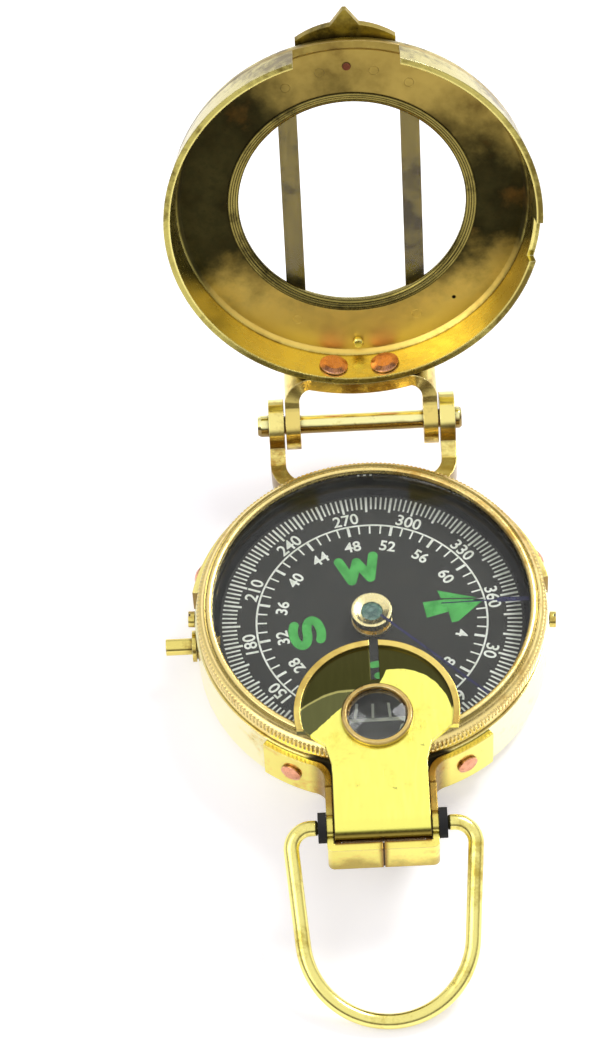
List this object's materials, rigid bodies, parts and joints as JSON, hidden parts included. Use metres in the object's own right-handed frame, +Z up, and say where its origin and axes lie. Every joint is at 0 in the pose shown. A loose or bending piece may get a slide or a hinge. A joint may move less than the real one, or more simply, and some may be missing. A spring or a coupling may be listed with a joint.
{
  "type": "engineer compass",
  "caption": "Folding brass surveying compass: turning bezel, floating card, hinged windowed lid, lens eyepiece, card brake and thumb ring.",
  "frame": {"origin": "centre of the flat underside of the case, on the axis of the card", "axes": "+Z up out of the dial, +Y toward the lid hinge, +X to the right seen from the eyepiece; the lid stands open, the eyepiece lies on the bezel, the ring lies on the table"},
  "size_m": [0.0685, 0.151, 0.0821],
  "materials": {
    "case_brass": "polished pale brass, a little hazy",
    "inner_brass": "turned, unpolished",
    "needle_steel": "ground steel",
    "plunger_brass": "turned and polished",
    "spring_steel": "drawn spring wire",
    "pale_brass": "polished sheet brass with rubbed edges",
    "copper": "hammered copper rivet",
    "black_washer": "matt black fibre",
    "bezel_brass": "polished, fine milled edge",
    "clear_glass": "clear flat glass",
    "card_black": "matt dark grey with printed scales",
    "jewel": "polished blue-green jewel",
    "magnet_steel": "dull magnet steel",
    "lid_brass": "aged brass, polished outside and tarnished inside",
    "eyepiece_brass": "polished sheet brass",
    "lens_glass": "clear polished lens",
    "ring_brass": "drawn wire, polished"
  },
  "bodies": {
    "case": {"case_cup": "case_brass", "pivot_post": "inner_brass", "pivot_needle": "needle_steel", "lever_bracket": "inner_brass", "lever_pin": "needle_steel", "plunger_bush": "plunger_brass", "plunger_spring": "spring_steel", "bezel_screws": "plunger_brass", "hinge_strap": "pale_brass", "strap_rivets": "copper", "hinge_pin": "plunger_brass", "bracket_left": "pale_brass", "bracket_right": "pale_brass", "bracket_rivets": "copper", "ring_washers": "black_washer"},
    "bezel": {"bezel_ring": "bezel_brass", "dial_glass": "clear_glass", "glass_retainer": "inner_brass"},
    "card": {"card_disc": "card_black", "card_hub": "inner_brass", "hub_jewel": "jewel", "card_magnets": "magnet_steel"},
    "plunger": {"plunger": "plunger_brass"},
    "brake_lever": {"brake_lever": "inner_brass"},
    "lid": {"lid_shell": "lid_brass", "lid_glass": "clear_glass", "lid_glass_ring": "inner_brass", "guard_bar_left": "lid_brass", "guard_bar_right": "lid_brass", "guard_rivets": "inner_brass", "thumb_tab": "lid_brass", "tab_rivets": "inner_brass", "sight_stud": "plunger_brass", "sight_pin": "copper", "lid_bracket": "pale_brass", "lid_rivets": "copper"},
    "eyepiece": {"eyepiece_plate": "eyepiece_brass", "lens_cell": "eyepiece_brass", "eyepiece_lens": "lens_glass"},
    "ring": {"thumb_ring": "ring_brass"}
  },
  "joints": [
    {"name": "lid_hinge", "type": "hinge", "parent": "case", "child": "lid", "pos_m": [0, 0.0406, 0.0141], "axis": [-1, 0, 0], "range_deg": [-110.7, 69.3]},
    {"name": "eyepiece_hinge", "type": "hinge", "parent": "case", "child": "eyepiece", "pos_m": [0, -0.0434, 0.0165], "axis": [1, 0, 0], "range_deg": [0, 110]},
    {"name": "ring_hinge", "type": "hinge", "parent": "case", "child": "ring", "pos_m": [0, -0.0434, 0.0165], "axis": [-1, 0, 0], "range_deg": [-96, 78]},
    {"name": "bezel_spin", "type": "hinge", "parent": "case", "child": "bezel", "pos_m": [0, 0, 0.015], "axis": [0, 0, 1], "continuous": true},
    {"name": "card_spin", "type": "hinge", "parent": "case", "child": "card", "pos_m": [0, 0, 0.011], "axis": [0, 0, 1], "continuous": true},
    {"name": "plunger_slide", "type": "slide", "parent": "case", "child": "plunger", "axis": [1, 0, 0], "range_m": [0, 0.0008], "stiffness_N_per_m": 400, "springref_m": -0.0025, "deforming": ["plunger_spring"]},
    {"name": "brake_rock", "type": "hinge", "parent": "case", "child": "brake_lever", "pos_m": [-0.019, -0.001, 0.0038], "axis": [0, 1, 0], "range_deg": [0, 15]}
  ],
  "couplings": [
    {"joint": "brake_rock", "follows": "plunger_slide", "rad_per_m": 310}
  ]
}
